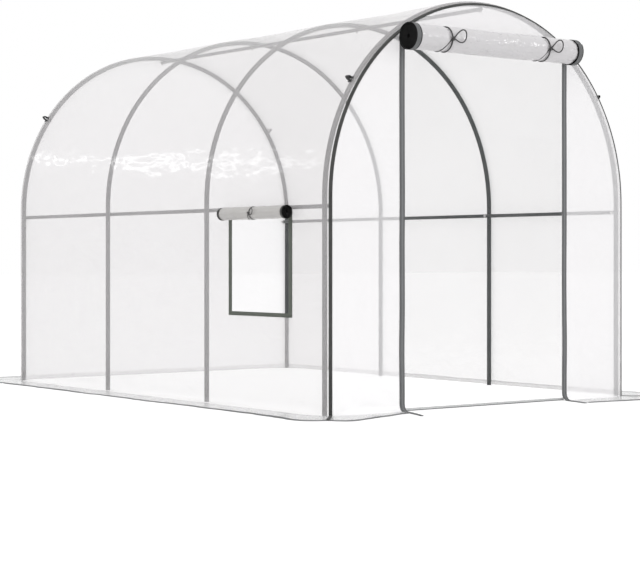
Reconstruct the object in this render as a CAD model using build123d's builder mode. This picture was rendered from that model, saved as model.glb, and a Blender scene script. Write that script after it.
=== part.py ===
"""A walk-in polytunnel greenhouse: steel hoops and rails under one clear film cover, with a roll-up door and window.

The origin is on the ground in the middle of the tunnel, +Z is up, the door faces -Y and the window is in the -X wall.
"""

import os
from math import cos, degrees, radians, sin

from build123d import *

# Driving dimensions of the steel frame, in millimetres
tunnel_length = 3000  # first hoop to last hoop, between tube centres
hoop_count = 4
hoop_span = 1975  # leg to leg, between tube centres
spring_height = 1030  # where a straight leg turns into the arch
hoop_tube = 25
rail_tube = 20
tube_wall = 1.2
tube_flat_count = 12  # a tube has this many flats, because full rounds on so many make the model heavy
rail_drop = 44  # of the side rails below the spring of the arch
rail_overrun = 10  # of a rail past the centre of the first and the last hoop
joint_drop = 100  # of the joints between legs and arches below the spring
spigot_length = 40
clearance = 0.3  # between pieces that seat on or in each other

# Driving dimensions of the film cover
film = 2
front_overhang = 29.5  # of the cover past the front hoop
front_gather = 20  # how far the cover draws in from the front hoop to its front edge
gather_offset = 3  # from the front hoop's middle to where the cover starts to draw in
side_flap_width = 210
end_flap_width = 250  # of the front and rear flaps, as far as the gathered front edge
door_half_width = 535
door_drop = 257.5  # of the doorway's head below the middle of the hoops' crown
window_middle = -994  # along Y
window_half_width = 242
window_drop = 90  # of the window's head below the spring
window_depth = 466  # from its head to its sill
threshold_height = 14

# Driving dimensions of the bindings, zips, rolls and loops
binding_width = 5  # on the front, and its return runs back along the cover
binding_return = 12
binding_tail = 14  # width of the tape's tail on the flap, from the cover's corner to the flap's
binding_thickness = 2
zip_width = 32
zip_thickness = 2.5
trim_side = 27
trim_foot = 20
trim_top = 25
trim_thickness = 2.5
door_roll_radius = 65
door_roll_overhang = 28  # of the roll past each side of the doorway
door_roll_lift = 45  # of the roll's middle over the doorway's head
door_tape = 36  # width of the rolled-up zip tape at each end of the roll
door_tape_rise = 3.5  # of that tape over the film
door_tie_offset = 330
window_roll_radius = 33.5
window_roll_overhang = 35
window_roll_lift = 22  # of the roll's middle over the window's head
window_tape = 16
door_cord = 6
window_cord = 4
knot_length = 12
knot_flat_count = 8
roll_flat_count = 24  # round a roll and its ties
door_loop = (90, 55)  # from its knot to its end, and across
window_loop = (45, 28)
neck_width = 22  # of the groove that a tie draws into a roll
loop_angle = 34.3  # of the guy loops, above the horizontal
loop_width = 22
loop_rise = 30
loop_foot = 40
loop_band = 2.5

# Sizes that follow
half_length = tunnel_length / 2
bay = tunnel_length / (hoop_count - 1)
hoop_places = [-half_length + bay * i for i in range(hoop_count)]
tube_radius = hoop_tube / 2
rail_radius = rail_tube / 2
arch_radius = hoop_span / 2
crown_height = spring_height + arch_radius
joint_height = spring_height - joint_drop
rail_height = spring_height - rail_drop
cover_inner = arch_radius + tube_radius + clearance
cover_outer = cover_inner + film
front_inner = -(half_length + tube_radius + front_overhang)
front_outer = front_inner - film
rear_inner = half_length + tube_radius + clearance
rear_outer = rear_inner + film
reach_x = cover_outer + side_flap_width
reach_y = end_flap_width - front_outer
edge_outer = cover_outer - front_gather
gather_start = -(half_length + gather_offset)
edge_top = spring_height + edge_outer
door_head = crown_height - door_drop
window_head = spring_height - window_drop
window_sill = window_head - window_depth
zip_front = front_outer - zip_thickness
door_end_radius = door_roll_radius + door_tape_rise
door_roll_y = zip_front - clearance - door_end_radius
door_roll_half_length = door_half_width + door_roll_overhang
door_roll_height = door_head + door_roll_lift
window_roll_height = window_head + window_roll_lift
window_roll_half_length = window_half_width + window_roll_overhang
window_roll_x = -(cover_outer + trim_thickness + clearance + window_roll_radius)
quarter_turn = 90
shoulder_turn = quarter_turn / 2

os.makedirs("parts", exist_ok=True)


def save(piece, name):
    """Writes one finished piece under its own name."""
    piece.part.label = name
    export_step(piece.part, f"parts/{name}.step")


def upright(y):
    """The plane across the tunnel at y, with X to the right and Z up. A positive extrude goes to -Y."""
    return Plane.XZ.offset(-y)


def out_from_arch(sign, turn):
    """The plane through the arch's axis, turned up from the ground, with X outwards and Y along the tunnel."""
    lean = radians(turn)
    return Plane(
        origin=(0, 0, spring_height),
        x_dir=(sign * cos(lean), 0, sin(lean)),
        z_dir=(-sin(lean), 0, sign * cos(lean)),
    )


def side_on(x):
    """The plane along the tunnel at x, with Y to the right and Z up. A positive extrude goes to +X."""
    return Plane.YZ.offset(x)


def rectangle(low, high, mode=Mode.ADD):
    """A rectangle of the sketch in hand, between two of its corners."""
    with Locations(((low[0] + high[0]) / 2, (low[1] + high[1]) / 2)):
        Rectangle(high[0] - low[0], high[1] - low[1], mode=mode)


def tube_section(place, radius, mode=Mode.ADD):
    """The section of a round tube, of the sketch in hand. Its corners lie on the circle, four of them on the axes."""
    with Locations(place):
        RegularPolygon(radius, tube_flat_count, mode=mode)


def tunnel_outline(radius, foot, mode=Mode.ADD):
    """The arch on its straight sides, filled, of the sketch in hand."""
    with BuildLine() as outline:
        Polyline((-radius, spring_height), (-radius, foot), (radius, foot), (radius, spring_height))
        ThreePointArc((radius, spring_height), (0, spring_height + radius), (-radius, spring_height))
    make_face(outline.edges(), mode=mode)


def inside_tunnel(radius, low, high):
    """The part of the filled arch between two corners, of the sketch in hand."""
    tunnel_outline(radius, 0)
    rectangle(low, high, mode=Mode.INTERSECT)


def cover_section(start, end, sign=1):
    """The cover cut across its film from start to end, of the sketch in hand. It draws in at the front."""
    outer = [(cover_outer, end)]
    if start < gather_start:
        outer += [(cover_outer, gather_start), (edge_outer, start)]
    else:
        outer.append((cover_outer, start))
    inner = [(out - film, along) for out, along in reversed(outer)]
    with BuildLine() as outline:
        Polyline(*[(sign * out, along) for out, along in outer + inner], close=True)
    make_face(outline.edges())


# Hoop legs: straight tubes with a swaged spigot on top
socket_radius = tube_radius - tube_wall
spigot_radius = socket_radius - clearance
for number, hoop_y in enumerate(hoop_places, start=1):
    with BuildPart() as legs:
        for sign in (-1, 1):
            with BuildSketch():
                tube_section((sign * arch_radius, hoop_y), tube_radius)
            extrude(amount=joint_height)
            with BuildSketch(Plane.XY.offset(joint_height)):
                tube_section((sign * arch_radius, hoop_y), spigot_radius)
            extrude(amount=spigot_length)
    save(legs, f"hoop_{number}_legs")

# Hoop arches: two halves each, which meet at the crown in a curved spigot of the left half
crown_angle = degrees(spigot_length / arch_radius)
socket_angle = degrees((spigot_length + clearance) / arch_radius)
crown_gap = degrees(clearance / arch_radius)
for number, hoop_y in enumerate(hoop_places, start=1):
    past_crown = Axis((0, hoop_y, spring_height), (0, 1, 0))
    with BuildPart() as arch:
        for sign, turn in ((1, quarter_turn - crown_gap), (-1, quarter_turn)):
            with BuildSketch(Plane.XY.offset(joint_height)):
                tube_section((sign * arch_radius, hoop_y), tube_radius)
            extrude(amount=joint_drop)
            with BuildSketch(Plane.XY.offset(spring_height)):
                tube_section((sign * arch_radius, hoop_y), tube_radius)
            revolve(axis=Axis((0, hoop_y, spring_height), (0, -sign, 0)), revolution_arc=turn)
            with BuildSketch(Plane.XY.offset(joint_height)):
                tube_section((sign * arch_radius, hoop_y), socket_radius)
            extrude(amount=spigot_length + clearance, mode=Mode.SUBTRACT)
            if sign > 0:
                with BuildSketch(Plane.YZ):
                    tube_section((hoop_y, crown_height), socket_radius)
                revolve(axis=past_crown, revolution_arc=socket_angle, mode=Mode.SUBTRACT)
        with BuildSketch(Plane.YZ):
            tube_section((hoop_y, crown_height), spigot_radius)
        revolve(axis=past_crown, revolution_arc=crown_angle)
    save(arch, f"hoop_{number}_arch")

# Rails: one tube a bay, each pushed onto the spigot of the one before it, on the inner side of the hoops
rail_socket_radius = rail_radius - tube_wall
rail_spigot_radius = rail_socket_radius - clearance
rail_inset = tube_radius + clearance + rail_radius
rail_joints = [hoop_places[0] - rail_overrun, *hoop_places[1:-1], hoop_places[-1] + rail_overrun]
rail_lines = {
    "left_rail": (rail_inset - arch_radius, rail_height),
    "right_rail": (arch_radius - rail_inset, rail_height),
    "ridge_rail": (0, crown_height - rail_inset),
}
for name, place in rail_lines.items():
    with BuildPart() as rail:
        for start, end in zip(rail_joints, rail_joints[1:]):
            with BuildSketch(upright(start)):
                tube_section(place, rail_radius)
            extrude(amount=start - end + clearance)
        for joint in rail_joints[1:-1]:
            with BuildSketch(upright(joint)):
                tube_section(place, rail_socket_radius)
            extrude(amount=-spigot_length - clearance, mode=Mode.SUBTRACT)
        for joint in rail_joints[1:-1]:
            with BuildSketch(upright(joint - clearance)):
                tube_section(place, rail_spigot_radius)
            extrude(amount=-spigot_length)
    save(rail, name)

# Side walls of the cover, split round the window
window_front = window_middle - window_half_width
window_rear = window_middle + window_half_width
wall_sheets = {
    "left_film_front": (-1, front_inner, window_front, window_head),
    "left_film_under_window": (-1, window_front, window_rear, window_sill),
    "left_film_rear": (-1, window_rear, rear_inner, window_head),
    "right_film": (1, front_inner, rear_inner, window_head),
}
for name, (sign, start, end, top) in wall_sheets.items():
    with BuildPart() as sheet:
        with BuildSketch():
            cover_section(start, end, sign)
        extrude(amount=top)
    save(sheet, name)

# Roof of the cover, bay by bay, from the window's head to the shoulder and on to the crown on either side
roof_bays = {
    "front": (front_inner, hoop_places[1]),
    "middle": (hoop_places[1], hoop_places[-2]),
    "rear": (hoop_places[-2], rear_inner),
}
for bay_name, (start, end) in roof_bays.items():
    for side, sign in (("left", -1), ("right", 1)):
        over_crown = Axis((0, 0, spring_height), (0, -sign, 0))
        with BuildPart() as lower:
            with BuildSketch(Plane.XY.offset(window_head)):
                cover_section(start, end, sign)
            extrude(amount=window_drop)
            with BuildSketch(out_from_arch(sign, 0)):
                cover_section(start, end)
            revolve(axis=over_crown, revolution_arc=shoulder_turn)
        save(lower, f"roof_film_{bay_name}_{side}_lower")
        with BuildPart() as upper:
            with BuildSketch(out_from_arch(sign, shoulder_turn)):
                cover_section(start, end)
            revolve(axis=over_crown, revolution_arc=quarter_turn - shoulder_turn)
        save(upper, f"roof_film_{bay_name}_{side}_upper")

# Front of the cover, split beside and over the doorway
front_sheets = {
    "front_film_left": ((-edge_outer, 0), (-door_half_width, edge_top)),
    "front_film_right": ((door_half_width, 0), (edge_outer, edge_top)),
    "front_film_over_door": ((-door_half_width, door_head), (door_half_width, edge_top)),
}
for name, (low, high) in front_sheets.items():
    with BuildPart() as sheet:
        with BuildSketch(upright(front_inner)):
            inside_tunnel(edge_outer, low, high)
        extrude(amount=film)
    save(sheet, name)

with BuildPart() as threshold:
    with BuildSketch(upright(front_inner)):
        rectangle((-door_half_width, 0), (door_half_width, threshold_height))
    extrude(amount=film)
save(threshold, "door_threshold")

with BuildPart() as rear_film:
    with BuildSketch(upright(rear_outer)):
        tunnel_outline(cover_outer, 0)
    extrude(amount=film)
save(rear_film, "rear_film")

# Ground flaps, which lie outwards from the foot of the cover
with BuildPart() as side_flaps:
    with BuildSketch():
        rectangle((-reach_x, -reach_y), (-cover_outer, reach_y))
        rectangle((cover_outer, -reach_y), (reach_x, reach_y))
    extrude(amount=film)
save(side_flaps, "side_flaps")

with BuildPart() as front_flaps:
    for sign in (-1, 1):
        with BuildSketch():
            corners = [
                (door_half_width, -reach_y),
                (cover_outer, -reach_y),
                (cover_outer, gather_start),
                (edge_outer, front_inner),
                (edge_outer, front_outer),
                (door_half_width, front_outer),
            ]
            with BuildLine() as outline:
                Polyline(*[(sign * out, along) for out, along in corners], close=True)
            make_face(outline.edges())
        extrude(amount=film)
save(front_flaps, "front_flaps")

with BuildPart() as rear_flap:
    with BuildSketch():
        rectangle((-cover_outer, rear_outer), (cover_outer, reach_y))
    extrude(amount=film)
save(rear_flap, "rear_flap")

# Binding tape folded over the front edge of the cover, with a tail on the flap at each corner
gather_slope = front_gather / (gather_start - front_inner)
tape_inner = cover_outer + clearance
fold_inner = edge_outer + clearance
return_end = front_outer + binding_return
return_inner = fold_inner + gather_slope * binding_return
binding_section = [
    (edge_outer - binding_width, front_outer),
    (edge_outer - binding_width, front_outer - binding_thickness),
    (fold_inner + binding_thickness, front_outer - binding_thickness),
    (return_inner + binding_thickness, return_end),
    (return_inner, return_end),
    (fold_inner, front_outer),
]
with BuildPart() as binding:
    for sign in (-1, 1):
        with BuildSketch(Plane.XY.offset(film)):
            with BuildLine() as outline:
                Polyline(*[(sign * out, along) for out, along in binding_section], close=True)
            make_face(outline.edges())
        extrude(amount=spring_height - film)
        tail_start = Vector(sign * edge_outer, front_outer, film)
        tail_run = Vector(sign * reach_x, -reach_y, film) - tail_start
        with BuildSketch(Plane(origin=tail_start + tail_run / 2, x_dir=tail_run, z_dir=(0, 0, 1))):
            Rectangle(tail_run.length - binding_tail, binding_tail)
        extrude(amount=binding_thickness)
    with BuildSketch(out_from_arch(1, 0)):
        with BuildLine() as outline:
            Polyline(*binding_section, close=True)
        make_face(outline.edges())
    revolve(axis=Axis((0, 0, spring_height), (0, -1, 0)), revolution_arc=2 * quarter_turn)
save(binding, "front_binding")

# Zip strips beside the doorway, each with a tail along the end of its flap
with BuildPart() as door_zips:
    for sign in (-1, 1):
        edges = sorted((sign * door_half_width, sign * (door_half_width + zip_width)))
        with BuildSketch(upright(front_outer)):
            inside_tunnel(
                edge_outer - binding_width - clearance,
                (edges[0], film),
                (edges[1], edge_top),
            )
        extrude(amount=zip_thickness)
        with BuildSketch(Plane.XY.offset(film)):
            rectangle((edges[0], -reach_y), (edges[1], front_outer))
        extrude(amount=zip_thickness)
save(door_zips, "door_zips")


def across(plane, place):
    """The plane across a roll, at a place along the plane's local X."""
    return Plane(origin=plane.from_local_coords((place, 0, 0)), z_dir=plane.x_dir)


def rolled_film(plane, radius, half_length, necks, cord):
    """A roll of film along the plane's local X, drawn in to a groove where each tie goes round it."""
    groove = radius - cord - clearance
    sections = [(-half_length, radius)]
    for neck in necks:
        sections += [(neck - neck_width, radius), (neck - neck_width / 3, groove)]
        sections += [(neck + neck_width / 3, groove), (neck + neck_width, radius)]
    sections.append((half_length, radius))
    with BuildPart() as roll:
        for place, size in sections:
            with BuildSketch(across(plane, place)):
                RegularPolygon(size, roll_flat_count)
        loft(ruled=True)
    return roll


# Door film rolled up over the doorway, with the zip tape that is rolled up in its ends
door_roll_axis = Plane(origin=(0, door_roll_y, door_roll_height), x_dir=(1, 0, 0), z_dir=(0, -1, 0))
door_ties = (-door_tie_offset, door_tie_offset)
door_roll = rolled_film(
    door_roll_axis, door_roll_radius, door_roll_half_length - door_tape, door_ties, door_cord
)
save(door_roll, "door_roll")

with BuildPart() as door_roll_ends:
    for sign in (-1, 1):
        with BuildSketch(across(door_roll_axis, sign * (door_roll_half_length - door_tape))):
            RegularPolygon(door_end_radius, roll_flat_count)
        extrude(amount=sign * door_tape)
save(door_roll_ends, "door_roll_ends")

# Window film rolled up over the window
window_roll_axis = Plane(
    origin=(window_roll_x, window_middle, window_roll_height), x_dir=(0, 1, 0), z_dir=(-1, 0, 0)
)
window_roll = rolled_film(
    window_roll_axis, window_roll_radius, window_roll_half_length - window_tape, (0,), window_cord
)
save(window_roll, "window_roll")

with BuildPart() as window_roll_ends:
    for sign in (-1, 1):
        with BuildSketch(across(window_roll_axis, sign * (window_roll_half_length - window_tape))):
            RegularPolygon(window_roll_radius, roll_flat_count)
        extrude(amount=sign * window_tape)
save(window_roll_ends, "window_roll_ends")


def roll_ties(plane, places, radius, cord, loop):
    """Cords round a roll, each knotted in front of it, with its loop. The plane's local Z points off the wall."""
    with BuildPart() as ties:
        for place in places:
            with BuildSketch(across(plane, place)):
                RegularPolygon(radius, roll_flat_count)
                RegularPolygon(radius - cord, roll_flat_count, major_radius=False, mode=Mode.SUBTRACT)
            extrude(amount=cord / 2, both=True)
            with BuildSketch(plane.offset(radius - cord / 2)):
                with Locations((place, 0)):
                    RegularPolygon(1.1 * cord, knot_flat_count)
            extrude(amount=knot_length)
            with BuildSketch(plane.offset(radius + clearance)):
                with Locations((place + loop[0] - loop[1] / 2, 0)):
                    RegularPolygon(loop[1] / 2, tube_flat_count)
                with Locations((place, 0)):
                    RegularPolygon(cord, knot_flat_count)
                make_hull()
                offset(amount=-cord, mode=Mode.SUBTRACT)
            extrude(amount=cord)
    return ties


# Ties that hold the rolls up
door_roll_ties = roll_ties(door_roll_axis, door_ties, door_roll_radius, door_cord, door_loop)
save(door_roll_ties, "door_roll_ties")

window_roll_tie = roll_ties(window_roll_axis, (0,), window_roll_radius, window_cord, window_loop)
save(window_roll_tie, "window_roll_tie")

# Trim round the window, on the outside of the film
with BuildPart() as window_trim:
    with BuildSketch(side_on(-cover_outer)):
        rectangle(
            (window_front - trim_side, window_sill - trim_foot),
            (window_rear + trim_side, window_head + trim_top),
        )
        with Locations((window_middle, (window_sill + window_head) / 2)):
            Rectangle(2 * window_half_width, window_head - window_sill, mode=Mode.SUBTRACT)
    extrude(amount=-trim_thickness)
save(window_trim, "window_trim")

# Webbing loops for the guy ropes, on the shoulders of the first and the last hoop
with BuildPart() as guy_loops:
    for sign in (-1, 1):
        lean = radians(loop_angle)
        outward = Vector(sign * cos(lean), 0, sin(lean))
        for hoop_y in (hoop_places[0], hoop_places[-1]):
            seat = Vector(0, hoop_y, spring_height) + outward * tape_inner
            with BuildSketch(Plane(origin=seat, x_dir=outward, z_dir=(0, 1, 0))):
                with Locations((loop_band / 2, 0)):
                    Rectangle(loop_band, loop_foot)
                with Locations((loop_rise / 2, 0)):
                    RegularPolygon(loop_rise / 2, tube_flat_count)
                    RegularPolygon(loop_rise / 2 - loop_band, tube_flat_count, mode=Mode.SUBTRACT)
            extrude(amount=loop_width / 2, both=True)
save(guy_loops, "guy_loops")
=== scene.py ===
from functools import partial
from math import asin, cos, exp, hypot, pi, radians, sin, sqrt

import bmesh
import bpy
from bpy.props import FloatProperty, FloatVectorProperty, IntProperty, PointerProperty
from mathutils import Matrix, Vector, noise


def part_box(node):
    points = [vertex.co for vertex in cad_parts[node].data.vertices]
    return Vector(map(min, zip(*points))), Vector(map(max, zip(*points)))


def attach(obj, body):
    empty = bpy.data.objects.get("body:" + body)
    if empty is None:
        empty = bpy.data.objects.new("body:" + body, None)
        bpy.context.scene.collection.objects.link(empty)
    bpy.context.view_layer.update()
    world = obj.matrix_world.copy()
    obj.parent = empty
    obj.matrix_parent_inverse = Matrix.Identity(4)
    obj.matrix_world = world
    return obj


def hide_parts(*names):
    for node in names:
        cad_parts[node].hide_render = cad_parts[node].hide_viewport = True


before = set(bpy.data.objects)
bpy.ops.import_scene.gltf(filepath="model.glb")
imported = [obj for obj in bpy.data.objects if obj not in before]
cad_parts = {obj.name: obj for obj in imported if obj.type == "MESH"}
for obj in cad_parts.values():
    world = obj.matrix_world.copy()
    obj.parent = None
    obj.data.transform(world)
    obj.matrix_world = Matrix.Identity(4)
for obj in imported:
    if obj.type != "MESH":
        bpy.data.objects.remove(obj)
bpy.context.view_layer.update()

bl_info = {
    "name": "Polytunnel greenhouse",
    "version": (1, 0, 0),
    "blender": (4, 5, 0),
    "location": "View3D > Sidebar > Polytunnel",
    "description": "Dresses the packed polytunnel with film, tubes, tapes and rolls, and sets its studio",
    "category": "Object",
}

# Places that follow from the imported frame, in metres
cover_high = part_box("rear_film")[1]
radius = cover_high.x
spring = cover_high.z - radius
quarter = pi / 2 * radius
half_girth = quarter + spring
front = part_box("front_film_left")[0].y
edge_radius = -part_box("front_film_left")[0].x
rear = cover_high.y
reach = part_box("side_flaps")[1]
film_solid = cover_high.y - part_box("rear_film")[0].y
door_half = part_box("front_film_over_door")[1].x
door_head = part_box("front_film_over_door")[0].z
window_low = Vector((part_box("left_film_front")[1].y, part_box("left_film_under_window")[1].z))
window_high = Vector((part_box("left_film_rear")[0].y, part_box("left_film_front")[1].z))
legs = [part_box(f"hoop_{number}_legs") for number in (1, 2, 3, 4)]
hoop_places = [(low.y + high.y) / 2 for low, high in legs]
tube_radius = (legs[0][1].y - legs[0][0].y) / 2
arch_radius = legs[0][1].x - tube_radius
joint_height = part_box("hoop_1_arch")[0].z
rails = {name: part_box(name) for name in ("left_rail", "right_rail", "ridge_rail")}
rail_radius = (rails["ridge_rail"][1].x - rails["ridge_rail"][0].x) / 2
gather_start = hoop_places[0] - 0.003
gather_slope = (radius - edge_radius) / (gather_start - front)
loop_height = (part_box("guy_loops")[0].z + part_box("guy_loops")[1].z) / 2

# Heights of the lines across the foot of a sheet, where it turns into its flap
foot_rows = (0.001, 0.004, 0.009, 0.017, 0.028, 0.038)
# Height up to which the film is creased, and from which it is taut
creased_below, taut_above = 1.3, 1.5


def colour(name, description, default):
    return FloatVectorProperty(
        name=name, description=description, subtype="COLOR", size=4, min=0, max=1, default=(*default, 1)
    )


def length(name, description, default):
    return FloatProperty(name=name, description=description, default=default, min=0, unit="LENGTH")


def share(name, description, default):
    return FloatProperty(name=name, description=description, default=default, min=0, max=1, subtype="FACTOR")


class FilmSettings(bpy.types.PropertyGroup):
    cell: length("Cell", "Size of a cell of the film's mesh", 0.022)
    thickness: length("Thickness", "Thickness of the film", 0.0008)
    sag: length("Sag", "How far the film sinks between two hoops", 0.005)
    wrinkle: length("Wrinkle", "Height of the wrinkles in the stretched film", 0.0025)
    slack: length("Slack", "Height of the folds at the foot of the front", 0.006)
    flare: length("Flare", "Radius in which the film turns into its flap", 0.04)
    wall_colour: colour("Wall colour", "Colour of the haze in the walls and the roof", (0.77, 0.745, 0.755))
    # Painted light: the ends are the walls' film, with a near-white haze colour for the light that shines
    # through them from outside
    end_lit_colour: colour("End colour", "Colour of the haze in the front and the rear", (0.99, 0.975, 0.99))
    wall_haze: share("Wall haze", "How much one face of the walls and the roof hides", 0.23)
    end_haze: share("End haze", "How much one face of the front and the rear hides", 0.33)


class FlapSettings(bpy.types.PropertyGroup):
    wave: length("Wave", "How far a flap's outer edge wanders in and out", 0.012)
    pull: length("Pull", "How far the flaps' front corners are drawn in", 0.076)
    rear_pull: length("Rear pull", "How far the flaps' rear corners are drawn in", 0.02)
    bulge: length("Bulge", "How far a flap's outer edge stands out beside a front corner", 0.04)
    fold: length("Fold", "Height of the folds in a flap", 0.005)
    hem: length("Hem", "Width of the hem along the outer edge", 0.006)
    thickness: length("Thickness", "Thickness of a flap", 0.0009)
    haze: share("Haze", "How much one face of a flap hides", 0.5)
    tint: colour("Colour", "Colour of the flaps", (0.62, 0.62, 0.625))
    hem_colour: colour("Hem colour", "Colour of the hem", (0.16, 0.165, 0.17))


class SteelSettings(bpy.types.PropertyGroup):
    sides: IntProperty(name="Sides", description="Sides of a tube's mesh", default=20, min=8)
    shoulder: length("Shoulder", "How far a tube's rolled edge is drawn in", 0.0015)
    socket: length("Socket", "How far a rail reaches into the next", 0.03)
    tint: colour("Colour", "Colour of the coated tubes", (0.055, 0.06, 0.061))
    bolt_colour: colour("Bolt colour", "Colour of the zinc-plated nuts", (0.5, 0.5, 0.5))


class TapeSettings(bpy.types.PropertyGroup):
    thread: length("Thread", "Distance between two threads of a tape", 0.0012)
    thickness: length("Thickness", "Thickness of the zip tape and the threshold", 0.0014)
    binding_width: length("Binding width", "Width of the binding on the front", 0.0055)
    binding_return: length("Binding return", "Width of the binding on the cover", 0.0125)
    binding_tail: length("Binding tail", "Width of the binding's tails on the flaps", 0.014)
    binding_colour: colour("Binding colour", "Colour of the binding", (0.022, 0.024, 0.023))
    zip_colour: colour("Zip colour", "Colour of the zip tape", (0.13, 0.135, 0.14))
    zip_edge_colour: colour("Zip edge colour", "Colour of the zip tape's edges", (0.07, 0.073, 0.076))
    coil_colour: colour("Coil colour", "Colour of the zip's coil", (0.2, 0.205, 0.21))
    trim_colour: colour("Trim colour", "Colour of the tape round the window", (0.085, 0.1, 0.08))
    cord_colour: colour("Cord colour", "Colour of the ties and guy loops", (0.02, 0.02, 0.022))


class RollSettings(bpy.types.PropertyGroup):
    crinkle: length("Crinkle", "Height of the crinkles in the rolled film", 0.0026)
    slip: length("Slip", "How far the rolled door lies to the left of the middle", 0.011)
    layer: length("Layer", "Distance between two turns of the door's rolled tape", 0.0042)
    door_cord: length("Door cord", "Thickness of the door's ties", 0.0066)
    window_cord: length("Window cord", "Thickness of the window's tie", 0.004)
    tint: colour("Colour", "Colour of the rolled door's film", (0.65, 0.635, 0.655))
    # Painted shade: the rolled window is the door's film, given a darker colour for the shade it lies in
    window_shade_tint: colour("Window colour", "Colour of the rolled window's film", (0.42, 0.405, 0.395))
    # Painted shade: a near-black colour for the dark between the rolled tape's inner turns
    core_shade_colour: colour("Core colour", "Colour of the rolled tape's inner turns", (0.008, 0.008, 0.008))


def own(name):
    """The settings of that name, as the scene has them."""
    return getattr(bpy.context.scene, "tunnel_" + name)


# Shader node groups


def plug(tree, socket, value):
    """Links a socket to its source, or gives it a value of its own."""
    if isinstance(value, bpy.types.NodeSocket):
        tree.links.new(value, socket)
    else:
        socket.default_value = value


def shader_group(name, inputs, outputs):
    """An empty shader node group, with the sockets it is given and those it puts out."""
    group = bpy.data.node_groups.new(name, "ShaderNodeTree")
    for socket, kind, value in inputs:
        made = group.interface.new_socket(socket, in_out="INPUT", socket_type=f"NodeSocket{kind}")
        made.default_value = value
    for socket, kind in outputs:
        group.interface.new_socket(socket, in_out="OUTPUT", socket_type=f"NodeSocket{kind}")
    return group, group.nodes.new("NodeGroupInput").outputs, group.nodes.new("NodeGroupOutput").inputs


def maths(tree, operation, first, second=0.0):
    """A Math node on two sockets or numbers, and its output."""
    node = tree.nodes.new("ShaderNodeMath")
    node.operation = operation
    plug(tree, node.inputs[0], first)
    plug(tree, node.inputs[1], second)
    return node.outputs["Value"]


def noise_value(tree, vector, scale, detail=2.0, kind="FBM"):
    """A Noise node's value at that vector."""
    node = tree.nodes.new("ShaderNodeTexNoise")
    node.noise_type = kind
    for socket, value in (("Vector", vector), ("Scale", scale), ("Detail", detail)):
        plug(tree, node.inputs[socket], value)
    return node.outputs[0]


def crinkle_group():
    """Creases of thin film: long soft folds, with short sharp ones on them."""
    group, given, out = shader_group(
        "crinkle",
        [("Vector", "Vector", (0, 0, 0)), ("Fold Scale", "Float", 6.0), ("Crease Scale", "Float", 22.0),
         ("Crease", "Float", 0.35)],
        [("Height", "Float")],
    )
    folds = noise_value(group, given["Vector"], given["Fold Scale"])
    creases = noise_value(group, given["Vector"], given["Crease Scale"], 3.0, "RIDGED_MULTIFRACTAL")
    sharp = maths(group, "MULTIPLY", creases, given["Crease"])
    group.links.new(maths(group, "ADD", folds, sharp), out["Height"])
    return group


def haze_group():
    """How much the film hides from place to place: an even haze with cloudy patches."""
    group, given, out = shader_group(
        "haze",
        [("Vector", "Vector", (0, 0, 0)), ("Haze", "Float", 0.3), ("Patches", "Float", 0.1)],
        [("Alpha", "Float")],
    )
    clouds = noise_value(group, given["Vector"], 1.7, 3.0)
    swing = maths(group, "MULTIPLY", maths(group, "SUBTRACT", clouds, 0.5), given["Patches"])
    group.links.new(maths(group, "ADD", given["Haze"], swing), out["Alpha"])
    return group


def weave_group():
    """Plain weave on flat coordinates in metres: threads over and under each other."""
    group, given, out = shader_group(
        "weave", [("Vector", "Vector", (0, 0, 0)), ("Thread", "Float", 0.0012)], [("Height", "Float")]
    )
    split = group.nodes.new("ShaderNodeSeparateXYZ")
    group.links.new(given["Vector"], split.inputs[0])
    threads = []
    for axis in ("X", "Y"):
        count = maths(group, "DIVIDE", split.outputs[axis], given["Thread"])
        threads.append(maths(group, "SINE", maths(group, "MULTIPLY", count, pi)))
    group.links.new(maths(group, "MULTIPLY", *threads), out["Height"])
    return group


def wear_group():
    """Dust and handling on a surface: a colour that drifts, and a roughness that follows it."""
    group, given, out = shader_group(
        "wear",
        [("Vector", "Vector", (0, 0, 0)), ("Colour", "Color", (0.5, 0.5, 0.5, 1)), ("Scale", "Float", 20.0),
         ("Amount", "Float", 0.3), ("Roughness", "Float", 0.5)],
        [("Colour", "Color"), ("Roughness", "Float")],
    )
    patches = noise_value(group, given["Vector"], given["Scale"], 4.0)
    amount = maths(group, "MULTIPLY", patches, given["Amount"])
    mix = group.nodes.new("ShaderNodeMix")
    mix.data_type = "RGBA"
    group.links.new(amount, mix.inputs["Factor"])
    first_colour, second_colour, mixed_colour = mix.inputs[6], mix.inputs[7], mix.outputs[2]
    group.links.new(given["Colour"], first_colour)
    second_colour.default_value = (0.55, 0.54, 0.52, 1)
    group.links.new(mixed_colour, out["Colour"])
    rougher = maths(group, "ADD", given["Roughness"], maths(group, "MULTIPLY", amount, 0.4))
    group.links.new(rougher, out["Roughness"])
    return group


GROUPS = {"crinkle": crinkle_group, "haze": haze_group, "weave": weave_group, "wear": wear_group}


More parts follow.
